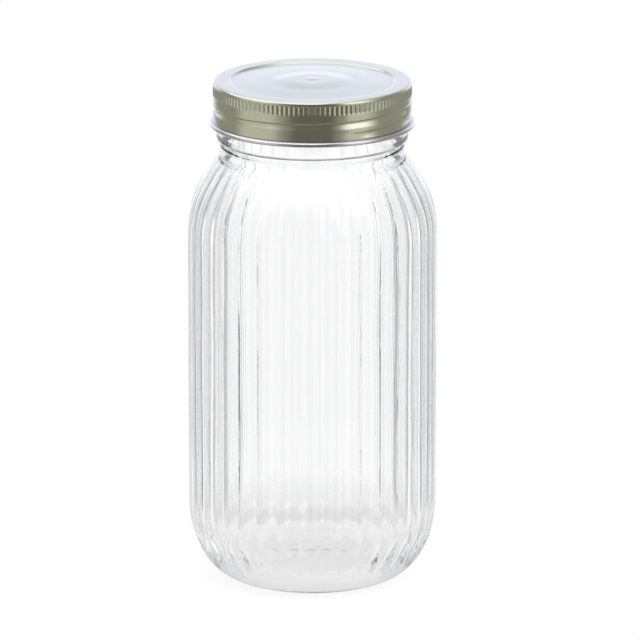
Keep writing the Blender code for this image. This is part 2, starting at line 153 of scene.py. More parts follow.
# Cap
SHEET = 0.30 * MM
BAND_RADIUS = 43.22 * MM
BAND_BORE = 42.80 * MM
SKIRT_WALL = 0.27 * MM
CAP_BEAD_DEPTH = 0.85 * MM
GROOVE_UP = 0.45 * MM
GROOVE_DEEP = -0.50 * MM
GROOVE_DOWN = -3.60 * MM
CAP_BEAD_TURNS = 1.20
CAP_BEAD_START_DEG = 15.0
CAP_EDGE_IN = 1.45 * MM
CAP_EDGE_DOWN = 1.65 * MM
CAP_RIM_WIDTH = 5.4 * MM
CAP_PANEL_DROP = 0.8 * MM
CAP_PANEL_SLOPE = 1.3 * MM
CAP_PANEL_CROWN = 0.42 * MM
CAP_BUTTON_RADIUS = 19.5 * MM
CAP_BUTTON_TOP = 8.0 * MM
CAP_BUTTON_RISE = 1.3 * MM
CAP_NUB_RADIUS = 3.8 * MM
CAP_NUB_RISE = 0.25 * MM
KNURL_COUNT = 130
KNURL_DEPTH = 0.25 * MM
KNURL_HEIGHT = 4.7 * MM
KNURL_LEAD_IN = 0.5 * MM
KNURL_RUN_OUT = 1.3 * MM
CURL_HEIGHT = 2.05 * MM
CURL_BORE = 42.9 * MM
CURL_NECK = 0.25 * MM
CURL_DEG = 215.0
HELIX_TOP = 0.5 * MM
BORE_HELIX_TOP = 0.6 * MM
BORE_CORNER = ((0.0, 1.9 * MM), (0.3 * MM, 0.9 * MM), (1.0 * MM, SHEET + 0.05 * MM))
AXIS_GAP = 0.1 * MM
NUB_shares = (0.2, 0.45, 0.65, 0.8, 0.92, 1.0)
NUB_EDGE_share = 0.5
BUTTON_shares = (0.25, 0.5, 0.75)
PANEL_shares = (0.12, 0.25, 0.4, 0.55, 0.7, 0.85, 0.95)
RIM_shares = (0.1, 0.3, 0.55, 0.8)
KNURL_shares = (0.0, 0.02, 0.045, 0.075, 0.11, 0.3, 0.5, 0.65, 0.75, 0.8, 0.85, 0.89, 0.93, 0.965, 1.0)
KNURL_SHARPNESS = 1.6
GROOVE_UP_shares = (0.0, 0.12, 0.25, 0.38, 0.5, 0.62, 0.75, 0.88, 1.0, 1.15)

# Sealing ring
SEAL_WIDTH = 5.1 * MM
SEAL_CORNER_share = 0.32
SEAL_DISH_share = 0.12
SEAL_TOP_shares = (0.15, 0.5, 0.85)
SEAL_UNDER_shares = (0.85, 0.7, 0.5, 0.3, 0.15)

# Facets around
SIDE_STEPS = 240
INSIDE_STEPS = 192
CAP_STEPS = 390
CAP_TOP_STEPS = 195
KNURL_STEPS = KNURL_COUNT * 6
SEAL_STEPS = 180

# Rows along the section
ROUND_REACH_share = 0.45
CORNER_ROWS = 4
HEEL_PLAIN_ROWS = 16
HEEL_FINE_ROWS = 16
HEEL_ROWS = 12
SIDE_ROWS = 20
SHOULDER_ROWS = 18
SHOULDER_FINE_ROWS = 7
COVE_ROWS = 9
BEAD_ROWS = 9
FILLET_ROWS = 9
INSIDE_SHOULDER_ROWS = 16
INSIDE_SIDE_ROWS = 22
INSIDE_HEEL_ROWS = 18
BUTTON_ROWS = 10
STEP_ROWS = 12
CAP_EDGE_ROWS = 8
CURL_ROWS = 20
SEAL_CORNER_ROWS = 7

# Looks of the glass
CLEAR = (1.0, 1.0, 1.0, 1.0)
GLASS_IOR = 1.52
HAZE_SCALE = 38.0
HAZE = (0.5, 0.8, 0.0, 0.012)
WAVE_STRETCH = (1.0, 1.0, 0.3)
WAVE_SCALE = 120.0
WAVE_share = 0.12
SPECK_SCALE = 420.0
SPECK_share = 0.012
GLASS_RELIEF = 0.35 * MM
SEAM_DEG = -49.5
SEAM_HALF = 0.25 * MM
SEAM_RELIEF = 0.08 * MM

# Looks of the cap
CLOUD_SCALE = 55.0
CLOUD = (0.3, 0.7)
GOLD_DARK = (0.655, 0.66, 0.46, 1.0)
GOLD_PALE = (0.70, 0.705, 0.51, 1.0)
SILVER = (0.80, 0.78, 0.73, 1.0)
SILVER_END = (-0.1 * MM, 0.35 * MM)
# Painted shade: a dark band in the lacquer's colour in the crease just above the rolled edge, on the skirt
# and not on the roll
CREVICE_SHADE = (0.10, 0.10, 0.09, 1.0)
CREVICE_SHADE_share = 0.75
CREVICE_SHADE_RISE = (-0.25 * MM, 0.0)
CREVICE_SHADE_FALL = (0.15 * MM, 0.7 * MM)
CREVICE_SHADE_OUT = (0.15 * MM, 0.4 * MM)
GRIT_SCALE = 900.0
GRIT_share = 0.4
CAP_ROUGHNESS = (0.4, 1.1, 0.13, 0.24)
COAT = 0.8
COAT_ROUGHNESS = 0.12
COAT_IOR = 1.55
PEEL_SCALE = 700.0
PEEL_RELIEF = 0.02 * MM

# Looks of the sealing ring
LINER_CLOUD_SCALE = 90.0
LINER_DARK = (0.74, 0.73, 0.68, 1.0)
LINER_PALE = (0.84, 0.83, 0.78, 1.0)
LINER_ROUGHNESS = (0.3, 0.7, 0.42, 0.58)
LINER_GRAIN_SCALE = 1500.0
LINER_RELIEF = 0.03 * MM

# Floor
FLOOR_FACETS = 96
FLOOR_IN = 100.0 * MM
FLOOR_OUT = 170.0 * MM
FLOOR_SINK = 0.05 * MM
FLOOR_COLOUR = (0.22, 0.22, 0.22, 1.0)
FLOOR_CAMERA_GLOW = 0.86
FLOOR_GLOSSY_GLOW = 0.45
FLOOR_GLASS_GLOW = (0.28, 0.16)
FLOOR_DIM_RING = (67.0 * MM, 73.0 * MM, 84.0 * MM, 94.0 * MM)

# World through the glass. Angles are degrees to either side of straight ahead, which is +Y, and the other
# pairs are heights of the ray's direction, from -1 to 1.
WHITE = (1.0, 1.0, 1.0, 1.0)
AHEAD_DEG = (24.0, 34.0)
PANE_START_DEG = 36.0
PANE_DEG = 24.0
PANE_EDGE_DEG = (10.0, 15.0)
PANE_GAP = (0.21, 0.215, 0.225, 1.0)
PANE_LOW = (1.0, 1.002, 1.008, 1.0)
PANE = (1.10, 1.10, 1.11, 1.0)
PANE_LOW_END = (-0.245, -0.19)
WALL_GAP = (0.34, 0.345, 0.355, 1.0)
WALL_PANE = (0.72, 0.725, 0.735, 1.0)
WALL_RISE = (-0.05, 0.08)
OVERHEAD = (0.95, 0.96, 0.98, 1.0)
OVERHEAD_RISE = (0.50, 0.72)

# World in the metal. Angles are degrees to the left (-) and right (+) of the front, which is -Y.
ROOM = 0.32
ROOM_BANDS_DEG = ((-36.0, -18.0, 20.0, 34.0, -0.18), (-104.0, -84.0, -50.0, -34.0, 0.30),
                  (36.0, 46.0, 60.0, 88.0, 0.34))
GROUND = (0.22, 0.22, 0.23, 1.0)
GROUND_END = (-0.85, -0.5)
FLANK = (0.93, 0.96, 1.06, 1.0)
FLANK_DEG = (138.0, 168.0)
BEHIND = (0.5, 0.88)
BEHIND_RISE = (-0.10, 0.02)
SKY_LOW = (1.04, 1.08, 1.32, 1.0)
SKY_MIDDLE = (0.87, 0.92, 1.17, 1.0)
SKY_HIGH = (0.775, 0.81, 1.05, 1.0)
SKY_RISE = (0.12, 0.27, 0.52)
CEILING = (0.70, 0.73, 0.86, 1.0)
CEILING_RISE = (0.55, 0.85)
SOFT_BOX = (1.40, 1.42, 1.65, 1.0)
SOFT_BOX_DEG = (30.0, 46.0, 62.0, 84.0)
SOFT_BOX_RISE = (0.05, 0.25, 0.60, 0.78)
EDGE_BOX = (2.00, 1.96, 2.30, 1.0)
EDGE_BOX_LEFT_DEG = (-150.0, -120.0)
EDGE_BOX_RIGHT_DEG = (-68.0, -38.0)
EDGE_BOX_RISE = (0.40, 0.54)
EDGE_BOX_SLANT = (0.62, 0.78, 0.0, 70.0)
LEFT_BOX = (1.20, 1.27, 1.62, 1.0)
LEFT_BOX_WAY = (-0.25, 0.10, 0.93)
LEFT_BOX_RANGE = (0.68, 0.84)
SURROUNDINGS = (0.85, 0.85, 0.86, 1.0)

# Lamp and camera
LAMP_PLACE = (1.1, -1.3, 1.6)
LAMP_TARGET = (0.0, 0.0, 0.15)
LAMP_SIDE = 0.9
LAMP_POWER = 9.0
CAMERA_PLACE = (0.0033, -3.372, 1.0115)
CAMERA_TARGET = (0.0033, 0.0, 0.1142)
LENS = 450.0
SENSOR = 36.0
SIGHT = 20.0
BOUNCES = 32
GLOSSY_BOUNCES = 24

# Sizes that follow
ARC_AXIS = BODY_RADIUS - SHOULDER_RADIUS
INSIDE_RADIUS = BODY_RADIUS - FLUTE_DEPTH - WALL
INSIDE_ARC = SHOULDER_RADIUS - FLUTE_DEPTH - WALL
COVE_TOP = SIDE_TOP + math.sqrt(
    (SHOULDER_RADIUS + NECK_COVE_RADIUS) ** 2 - (NECK_RADIUS + NECK_COVE_RADIUS - ARC_AXIS) ** 2)
COVE_ANGLE = math.acos((NECK_RADIUS + NECK_COVE_RADIUS - ARC_AXIS) / (SHOULDER_RADIUS + NECK_COVE_RADIUS))
NECK_BORE_RADIUS = NECK_RADIUS - NECK_WALL
BORE_TOP = SIDE_TOP + math.sqrt(
    (INSIDE_ARC + NECK_BORE_FILLET) ** 2 - (NECK_BORE_RADIUS + NECK_BORE_FILLET - ARC_AXIS) ** 2)
BORE_ANGLE = math.acos((NECK_BORE_RADIUS + NECK_BORE_FILLET - ARC_AXIS) / (INSIDE_ARC + NECK_BORE_FILLET))
BAND_TOP = COVE_TOP + NECK_BAND
GROOVE_Z = RIM_Z - FINISH_HEIGHT
GROOVE_RADIUS = NECK_RADIUS - NECK_STEP_IN
BEAD_RADIUS = GROOVE_RADIUS + BEAD_OVERHANG
BEAD_TOP = GROOVE_Z + BEAD_RISE + BEAD_HEIGHT
FINISH_RADIUS = BEAD_RADIUS - BEAD_STEP
MOUTH_RADIUS = FINISH_RADIUS - MOUTH_WALL
CAP_TOP = CAP_HIGHEST - CAP_NUB_RISE - CAP_BUTTON_RISE + CAP_PANEL_DROP
KNURL_TOP = CAP_TOP - CAP_EDGE_DOWN
KNURL_LOW = KNURL_TOP - KNURL_HEIGHT
SKIRT_LOW = CAP_LOW + CURL_HEIGHT + CURL_NECK
RIDGE_ANGLE = FRONT + math.radians(FLUTE_FIRST_RIDGE_DEG)
BEAD_ANGLE = FRONT + math.radians(CAP_BEAD_START_DEG)
THREAD_START_Z = RIM_Z - THREAD_RIM_DROP - THREAD_TOP_TURN * THREAD_LEAD
CAP_BEAD_START_Z = THREAD_START_Z - THREAD_SEAT


# Mesh code


class Skin:
    """Collects rings of vertices around the axis and the faces between them."""

    def __init__(self):
        self.verts = []
        self.faces = []

    def ring(self, angles, radius, height):
        """Adds a ring. Radius and height are numbers or hold one value for each angle.

        Returns (angles, indices).
        """
        angles = np.asarray(angles, float)
        radius = np.broadcast_to(radius, angles.shape)
        height = np.broadcast_to(height, angles.shape)
        first = len(self.verts)
        self.verts += list(zip(radius * np.cos(angles), radius * np.sin(angles), height))
        return angles, list(range(first, first + len(angles)))

    def point(self, height):
        self.verts.append((0.0, 0.0, height))
        return len(self.verts) - 1

    def face(self, corners):
        kept = []
        for corner in corners:
            if corner not in kept:
                kept.append(corner)
        if len(kept) > 2:
            self.faces.append(kept)

    def fan(self, rim, middle):
        ids = rim[1]
        for i in range(len(ids)):
            self.faces.append((ids[i], ids[(i + 1) % len(ids)], middle))

    def bridge(self, lower, upper):
        """Joins two rings whose vertices need not match in number."""
        low_angles, low = lower
        high_angles, high = upper
        if len(low) == len(high):
            for i in range(len(low)):
                k = (i + 1) % len(low)
                self.faces.append((low[i], low[k], high[k], high[i]))
            return
        count_low, count_high = len(low), len(high)
        i = j = 0
        while i < count_low or j < count_high:
            next_low = low_angles[(i + 1) % count_low] + TURN * ((i + 1) // count_low)
            next_high = high_angles[(j + 1) % count_high] + TURN * ((j + 1) // count_high)
            if j >= count_high or (i < count_low and next_low <= next_high):
                self.faces.append((low[i % count_low], low[(i + 1) % count_low], high[j % count_high]))
                i += 1
            else:
                self.faces.append((low[i % count_low], high[(j + 1) % count_high], high[j % count_high]))
                j += 1

    def skin(self, rings):
        for lower, upper in zip(rings, rings[1:]):
            self.bridge(lower, upper)

    def helix_wall(self, angles, low, high, offsets, turn_z, radius_of):
        """Wall whose rows follow the thread's helix. radius_of(turn, offset, height) gives the radius.

        Returns the bottom and the top ring.
        """
        start = angles[0]
        below = math.ceil((turn_z - low) / THREAD_LEAD) + 2
        above = math.ceil((high - turn_z) / THREAD_LEAD) + 2
        merge = (offsets[1] - offsets[0]) / 2
        turns_at = (angles - BEAD_ANGLE) / TURN
        bottom = self.ring(angles, [radius_of(t, low - turn_z - THREAD_LEAD * t, low) for t in turns_at], low)
        top = self.ring(angles, [radius_of(t, high - turn_z - THREAD_LEAD * t, high) for t in turns_at], high)
        columns = []
        for i, angle in enumerate(angles):
            column = []
            for lap in range(-below, above + 1):
                turn = turns_at[i] + lap
                middle = turn_z + THREAD_LEAD * turn
                for offset in offsets:
                    height = middle + offset
                    if height < low + merge:
                        column.append(bottom[1][i])
                    elif height > high - merge:
                        column.append(top[1][i])
                    else:
                        radius = radius_of(turn, offset, height)
                        self.verts.append((radius * math.cos(angle), radius * math.sin(angle), height))
                        column.append(len(self.verts) - 1)
            columns.append(column)
        rows = len(offsets)
        for i, here in enumerate(columns):
            there = columns[(i + 1) % len(columns)]
            if i + 1 == len(columns):
                there = there[rows:] + [top[1][0]] * rows
            for k in range(len(here) - 1):
                if here[k] != here[k + 1] or there[k] != there[k + 1]:
                    self.face((here[k], there[k], there[k + 1], here[k + 1]))
        return bottom, top

    def build(self, name):
        mesh = bpy.data.meshes.new(name)
        mesh.from_pydata(self.verts, [], self.faces)
        bm = bmesh.new()
        bm.from_mesh(mesh)
        loose = [v for v in bm.verts if not v.link_faces]
        bmesh.ops.delete(bm, geom=loose, context="VERTS")
        bmesh.ops.recalc_face_normals(bm, faces=bm.faces)
        bm.to_mesh(mesh)
        bm.free()
        mesh.shade_smooth()
        piece = bpy.data.objects.new(name, mesh)
        bpy.context.scene.collection.objects.link(piece)
        return piece


def even(count, start=RIDGE_ANGLE):
    return start + TURN * np.arange(count) / count


def steps(start, end, count):
    """count places from start to end, without the end."""
    return [start + (end - start) * i / count for i in range(count)]


def smooth(value):
    value = max(0.0, min(1.0, value))
    return value * value * (3.0 - 2.0 * value)


def rounded(points, size, count=CORNER_ROWS):
    """Rounds the inner corners of a polyline of (radius, height) points."""
    result = [points[0]]
    for before, here, after in zip(points, points[1:], points[2:]):
        a, b, c = np.array(before), np.array(here), np.array(after)
        reach_a = min(size, np.linalg.norm(a - b) * ROUND_REACH_share)
        reach_c = min(size, np.linalg.norm(c - b) * ROUND_REACH_share)
        start = b + (a - b) / np.linalg.norm(a - b) * reach_a
        end = b + (c - b) / np.linalg.norm(c - b) * reach_c
        for k in range(count + 1):
            t = k / count
            point = start * (1 - t) ** 2 + b * 2 * t * (1 - t) + end * t * t
            result.append(tuple(point))
    result.append(points[-1])
    return result


def runout(turn, first, last, length=THREAD_RUNOUT):
    return smooth(min(turn - first, last - turn) / length)


# Glass jar


def heel_point(angle):
    wide = BODY_RADIUS - BASE_RING_RADIUS
    out = HEEL_HEIGHT * math.sin(angle)
    down = wide * math.cos(angle)
    size = math.hypot(out, down)
    return (BASE_RING_RADIUS + wide * math.sin(angle), HEEL_HEIGHT - HEEL_HEIGHT * math.cos(angle),
            out / size, -down / size)


def shoulder_point(angle):
    return (ARC_AXIS + SHOULDER_RADIUS * math.cos(angle), SIDE_TOP + SHOULDER_RADIUS * math.sin(angle),
            math.cos(angle), math.sin(angle))


def cove_point(angle):
    return (NECK_RADIUS + NECK_COVE_RADIUS - NECK_COVE_RADIUS * math.cos(angle),
            COVE_TOP - NECK_COVE_RADIUS * math.sin(angle), math.cos(angle), math.sin(angle))


def fluted_rows():
    foot = math.radians(FLUTE_FOOT_DEG)
    heel_mid = foot + math.radians(HEEL_FINE_DEG)
    top = math.radians(FLUTE_TOP_DEG)
    rows = [heel_point(a) for a in steps(foot, heel_mid, HEEL_FINE_ROWS)]
    rows += [heel_point(a) for a in steps(heel_mid, QUARTER, HEEL_ROWS)]
    for i in range(SIDE_ROWS):
        height = HEEL_HEIGHT + (SIDE_TOP - HEEL_HEIGHT) * i / SIDE_ROWS
        rows.append((BODY_RADIUS, height, 1.0, 0.0))
    shoulder_mid = COVE_ANGLE - math.radians(SHOULDER_FINE_DEG)
    rows += [shoulder_point(a) for a in steps(0.0, shoulder_mid, SHOULDER_ROWS)]
    rows += [shoulder_point(a) for a in steps(shoulder_mid, COVE_ANGLE, SHOULDER_FINE_ROWS)]
    rows += [cove_point(a) for a in steps(COVE_ANGLE, top, COVE_ROWS)]
    rows.append(cove_point(top))
    return rows


def fluted_rings(skin):
    rows = fluted_rows()
    along = [0.0]
    for here, there in zip(rows, rows[1:]):
        along.append(along[-1] + math.hypot(there[0] - here[0], there[1] - here[1]))
    half = np.array(ACROSS_shares)
    from_ridge = np.concatenate([half, [1.0], half[:0:-1]])
    place = np.concatenate([half, [1.0], 2.0 - half[:0:-1]]) / 2
    angles = np.concatenate([RIDGE_ANGLE + TURN * (k + place) / FLUTE_COUNT for k in range(FLUTE_COUNT)])
    ridge = np.tile(from_ridge, FLUTE_COUNT)
    soft = np.sqrt(ridge ** 2 + RIDGE_ROUND_share ** 2) - RIDGE_ROUND_share
    rings = []
    for (radius, height, out, up), at in zip(rows, along):
        half_width = math.pi * radius / FLUTE_COUNT
        end = max(0.0, 1.0 - at / half_width)
        hollow = 2 * soft - soft ** 2 - end * end
        hollow = (hollow + np.sqrt(hollow ** 2 + END_ROUND_share ** 2)) / 2 - END_ROUND_share / 2
        cut = np.maximum(0.0, hollow) * FLUTE_DEPTH * radius / BODY_RADIUS
        cut = cut * smooth((along[-1] - at) / FLUTE_FADE) * smooth(at / FOOT_FADE)
        rings.append(skin.ring(angles, radius - cut * out, height - cut * up))
    return rings


def ripple(angles, height, size):
    """Unevenness of blown glass: long shallow waves around and along the jar."""
    total = np.zeros_like(angles)
    for around, along, start, share in RIPPLE_WAVES:
        total += share * np.sin(around * angles + along * height + start)
    return size * total / 2


def make_jar():
    skin = Skin()
    side = even(SIDE_STEPS)
    inside = even(INSIDE_STEPS)

    # Underside, base ring and the plain foot of the heel
    hollow = BASE_RING_RADIUS - BASE_RING_WIDTH
    under = []
    for share in UNDER_shares:
        under.append(skin.ring(inside, hollow * share, PUSH_UP * (1.0 - share * share) ** 2))
    under.append(skin.ring(inside, hollow + BASE_CORNER, 0.0))
    under.append(skin.ring(inside, BASE_RING_RADIUS - BASE_CORNER, 0.0))
    skin.fan(under[0], skin.point(PUSH_UP))
    heel = []
    for angle in steps(math.radians(HEEL_START_DEG), math.radians(FLUTE_FOOT_DEG), HEEL_PLAIN_ROWS):
        heel.append(skin.ring(side, *heel_point(angle)[:2]))

    body = fluted_rings(skin)

    # Neck, groove and bead
    step_in, step_up = NECK_STEP_shares
    outline = [cove_point(math.radians(COVE_LAST_DEG))[:2], (NECK_RADIUS, COVE_TOP),
               (NECK_RADIUS, BAND_TOP - JOIN),
               (NECK_RADIUS - step_in * NECK_STEP_IN, BAND_TOP + step_up * NECK_STEP_RISE),
               (GROOVE_RADIUS, GROOVE_Z)]
    neck = [skin.ring(side, radius, height) for radius, height in rounded(outline, NECK_ROUND)]
    for angle in steps(0.0, QUARTER, BEAD_ROWS)[1:] + [QUARTER]:
        neck.append(skin.ring(side, GROOVE_RADIUS + BEAD_OVERHANG * math.sin(angle),
                              GROOVE_Z + BEAD_RISE * (1.0 - math.cos(angle))))
    outline = [(BEAD_RADIUS, BEAD_TOP - BEAD_FLAT), (BEAD_RADIUS, BEAD_TOP - BEAD_EDGE),
               (FINISH_RADIUS, BEAD_TOP + BEAD_STEP), (FINISH_RADIUS, BEAD_TOP + FINISH_START)]
    neck += [skin.ring(side, radius, height) for radius, height in rounded(outline, BEAD_ROUND)]

    # Thread
    def thread_radius(turn, offset, height):
        hill = max(0.0, 1.0 - (offset / THREAD_FOOT) ** 2) ** THREAD_ROUNDNESS
        ends = runout(turn, THREAD_TOP_TURN - THREAD_TURNS, THREAD_TOP_TURN)
        return FINISH_RADIUS + THREAD_DEPTH * hill * ends

    offsets = [THREAD_FOOT * share for share in THREAD_shares]
    low, high = skin.helix_wall(side, BEAD_TOP + THREAD_START, RIM_Z - RIM_EDGE, offsets, THREAD_START_Z,
                                thread_radius)

    # Rim and the bore
    middle = (FINISH_RADIUS + MOUTH_RADIUS) / 2
    outline = [(FINISH_RADIUS, RIM_Z - RIM_EDGE + JOIN),
               (FINISH_RADIUS - JOIN, RIM_Z - RIM_EDGE_share * RIM_EDGE),
               (middle + RIM_LAND / 2, RIM_Z), (middle - RIM_LAND / 2, RIM_Z),
               (MOUTH_RADIUS, RIM_Z - RIM_EDGE), (MOUTH_RADIUS - MOUTH_TAPER, RIM_Z - RIM_DEPTH)]
    rim = [skin.ring(side, radius, height) for radius, height in rounded(outline, RIM_ROUND)[1:-1]]

    # Inside, from the mouth down to the floor
    points = []
    start_radius = MOUTH_RADIUS - MOUTH_TAPER - JOIN
    start = RIM_Z - RIM_DEPTH
    for share in NECK_BORE_shares:
        radius = start_radius + (NECK_BORE_RADIUS - start_radius) * smooth(share)
        points.append((radius, start + (BORE_TOP - start) * share))
    for angle in steps(0.0, BORE_ANGLE, FILLET_ROWS):
        points.append((NECK_BORE_RADIUS + NECK_BORE_FILLET - NECK_BORE_FILLET * math.cos(angle),
                       BORE_TOP - NECK_BORE_FILLET * math.sin(angle)))
    for angle in steps(BORE_ANGLE, 0.0, INSIDE_SHOULDER_ROWS):
        points.append((ARC_AXIS + INSIDE_ARC * math.cos(angle), SIDE_TOP + INSIDE_ARC * math.sin(angle)))
    for i in range(INSIDE_SIDE_ROWS):
        points.append((INSIDE_RADIUS, SIDE_TOP + (HEEL_HEIGHT - SIDE_TOP) * i / INSIDE_SIDE_ROWS))
    for angle in steps(QUARTER, 0.0, INSIDE_HEEL_ROWS):
        points.append((FLOOR_RADIUS + (INSIDE_RADIUS - FLOOR_RADIUS) * math.sin(angle),
                       HEEL_HEIGHT - (HEEL_HEIGHT - FLOOR) * math.cos(angle)))
    for share in FLOOR_shares:
        points.append((FLOOR_RADIUS * share, FLOOR))
    bore = []
    for radius, height in points:
        fade = smooth((SIDE_TOP + RIPPLE_END - height) / RIPPLE_FADE)
        fade = fade * smooth((radius - FLOOR_RADIUS / 2) / FLOOR_RADIUS)
        bore.append(skin.ring(inside, radius + ripple(inside, height, RIPPLE) * fade, height))
    skin.skin(under + heel + body + neck + [low])
    skin.skin([high] + rim + bore)
    skin.fan(bore[-1], skin.point(FLOOR))
    return skin.build("jar_glass")


# Screw cap


def groove(offset):
    """Section of the rolled bead: a steep step in from above, then a long swell out again below."""
    edge = GROOVE_UP if offset > GROOVE_DEEP else GROOVE_DOWN
    share = (edge - offset) / (edge - GROOVE_DEEP)
    return smooth(share) if share > 0 else 0.0


def top_outline():
    """Upper surface of the cap from near the axis to the start of the rounded edge."""
    panel = CAP_TOP - CAP_PANEL_DROP
    crown = panel + CAP_PANEL_CROWN
    button = panel + CAP_BUTTON_RISE
    rim_outer = BAND_RADIUS - CAP_EDGE_IN
    rim_inner = rim_outer - CAP_RIM_WIDTH
    step_foot = rim_inner - CAP_PANEL_SLOPE
    points = []
    for share in NUB_shares:
        fall = smooth((share - NUB_EDGE_share) / (1.0 - NUB_EDGE_share))
        points.append((CAP_NUB_RADIUS * share, button + CAP_NUB_RISE * (1.0 - fall)))
    for share in BUTTON_shares:
        points.append((CAP_NUB_RADIUS + (CAP_BUTTON_TOP - CAP_NUB_RADIUS) * share, button))
    for k in range(BUTTON_ROWS + 1):
        share = k / BUTTON_ROWS
        points.append((CAP_BUTTON_TOP + (CAP_BUTTON_RADIUS - CAP_BUTTON_TOP) * share,
                       button - (button - crown) * smooth(share)))
    for share in PANEL_shares:
        points.append((CAP_BUTTON_RADIUS + (step_foot - CAP_BUTTON_RADIUS) * share,
                       crown - CAP_PANEL_CROWN * smooth(share)))
    for k in range(STEP_ROWS + 1):
        share = k / STEP_ROWS
        points.append((step_foot + CAP_PANEL_SLOPE * share, panel + CAP_PANEL_DROP * smooth(share)))
    for share in RIM_shares:
        points.append((rim_inner + (rim_outer - rim_inner) * share, CAP_TOP))
    return points


def sheet_inside(points, thick):
    inner = []
    for i, (radius, height) in enumerate(points):
        before = points[max(i - 1, 0)]
        after = points[min(i + 1, len(points) - 1)]
        along = after[0] - before[0]
        rise = after[1] - before[1]
        size = math.hypot(along, rise)
        inner.append((max(AXIS_GAP, radius + thick * rise / size), height - thick * along / size))
    return inner


def make_cap():
    skin = Skin()
    around = even(CAP_STEPS, BEAD_ANGLE)
    top_around = even(CAP_TOP_STEPS, BEAD_ANGLE)
    knurl_around = even(KNURL_STEPS, BEAD_ANGLE)
    outline = top_outline()

    # Upper surface and rounded edge
    outer = [skin.ring(top_around, radius, height) for radius, height in outline]
    skin.fan(outer[0], skin.point(CAP_TOP - CAP_PANEL_DROP + CAP_BUTTON_RISE + CAP_NUB_RISE))
    for angle in steps(0.0, QUARTER, CAP_EDGE_ROWS):
        outer.append(skin.ring(around, BAND_RADIUS - CAP_EDGE_IN * (1.0 - math.sin(angle)),
                               CAP_TOP - CAP_EDGE_DOWN * (1.0 - math.cos(angle))))

    # Knurled band
    wave = (np.cos(KNURL_COUNT * (knurl_around - BEAD_ANGLE)) + 1) / 2
    valley = 1.0 - wave ** KNURL_SHARPNESS
    for share in KNURL_shares:
        height = KNURL_TOP - KNURL_HEIGHT * share
        depth = KNURL_DEPTH * smooth((KNURL_TOP - height) / KNURL_LEAD_IN)
        depth *= smooth((height - KNURL_LOW) / KNURL_RUN_OUT)
        outer.append(skin.ring(knurl_around, BAND_RADIUS - depth * valley, height))

    # Skirt with its helical bead, outside
    def skirt_radius(turn, offset, height):
        return BAND_RADIUS - CAP_BEAD_DEPTH * groove(offset) * runout(turn, 0.0, CAP_BEAD_TURNS)

    offsets = [GROOVE_DEEP + (GROOVE_DOWN - GROOVE_DEEP) * share for share in reversed(GROOVE_UP_shares[1:])]
    offsets += [GROOVE_DEEP + (GROOVE_UP - GROOVE_DEEP) * share for share in GROOVE_UP_shares]
    low, high = skin.helix_wall(around, SKIRT_LOW, KNURL_LOW - HELIX_TOP, offsets, CAP_BEAD_START_Z,
                                skirt_radius)

    # Rolled edge
    curl_middle = (CURL_BORE + CAP_WIDEST) / 2
    curl_half = (CAP_WIDEST - CURL_BORE) / 2
    first = math.acos((BAND_RADIUS - curl_middle) / curl_half)
    curl = []
    for angle in steps(first, -math.radians(CURL_DEG), CURL_ROWS):
        curl.append(skin.ring(around, curl_middle + curl_half * math.cos(angle),
                              CAP_LOW + CURL_HEIGHT / 2 * (1 + math.sin(angle))))

    # Inside
    def bore_radius(turn, offset, height):
        return skirt_radius(turn, offset, height) - SKIRT_WALL

    inner_low, inner_high = skin.helix_wall(top_around, SKIRT_LOW, KNURL_LOW - BORE_HELIX_TOP, offsets,
                                            CAP_BEAD_START_Z, bore_radius)
    under = sheet_inside(outline, SHEET)[:-1]
    inner_outline = [(BAND_BORE, KNURL_LOW)]
    inner_outline += [(BAND_BORE - inward, CAP_TOP - down) for inward, down in BORE_CORNER]
    inner = [skin.ring(top_around, radius, height) for radius, height in inner_outline]
    inner += [skin.ring(top_around, radius, height) for radius, height in reversed(under)]
    skin.fan(inner[-1], skin.point(CAP_TOP - CAP_PANEL_DROP + CAP_BUTTON_RISE + CAP_NUB_RISE - SHEET))

    skin.skin(outer + [high])
    skin.skin([low] + curl + [inner_low])
    skin.skin([inner_high] + inner)
    return skin.build("cap_metal")


# Sealing ring


def make_seal():
    skin = Skin()
    around = even(SEAL_STEPS, FRONT)
    thick = SEAL_TOP - SEAL_LOW
    corner = SEAL_CORNER_share * thick
    outline = []

    def quarter(first, radius, height):
        """Adds a rounded corner about a middle point, anticlockwise from the angle first."""
        for k in range(SEAL_CORNER_ROWS + 1):
            angle = first + QUARTER * k / SEAL_CORNER_ROWS
            outline.append((radius + corner * math.cos(angle), height + corner * math.sin(angle)))

    outer = SEAL_RADIUS - corner
    inner = SEAL_RADIUS - SEAL_WIDTH + corner
    quarter(-QUARTER, outer, SEAL_LOW + corner)
    quarter(0.0, outer, SEAL_TOP - corner)
    for share in SEAL_TOP_shares:
        outline.append((SEAL_RADIUS - SEAL_WIDTH * share, SEAL_TOP))
    quarter(QUARTER, inner, SEAL_TOP - corner)
    quarter(2 * QUARTER, inner, SEAL_LOW + corner)
    for share in SEAL_UNDER_shares:
        dish = SEAL_DISH_share * thick * math.sin(math.pi * share)
        outline.append((SEAL_RADIUS - SEAL_WIDTH * share, SEAL_LOW + dish))
    rings = [skin.ring(around, radius, height) for radius, height in outline]
    skin.skin(rings + [rings[0]])
    return skin.build("seal_compound")


# Node code


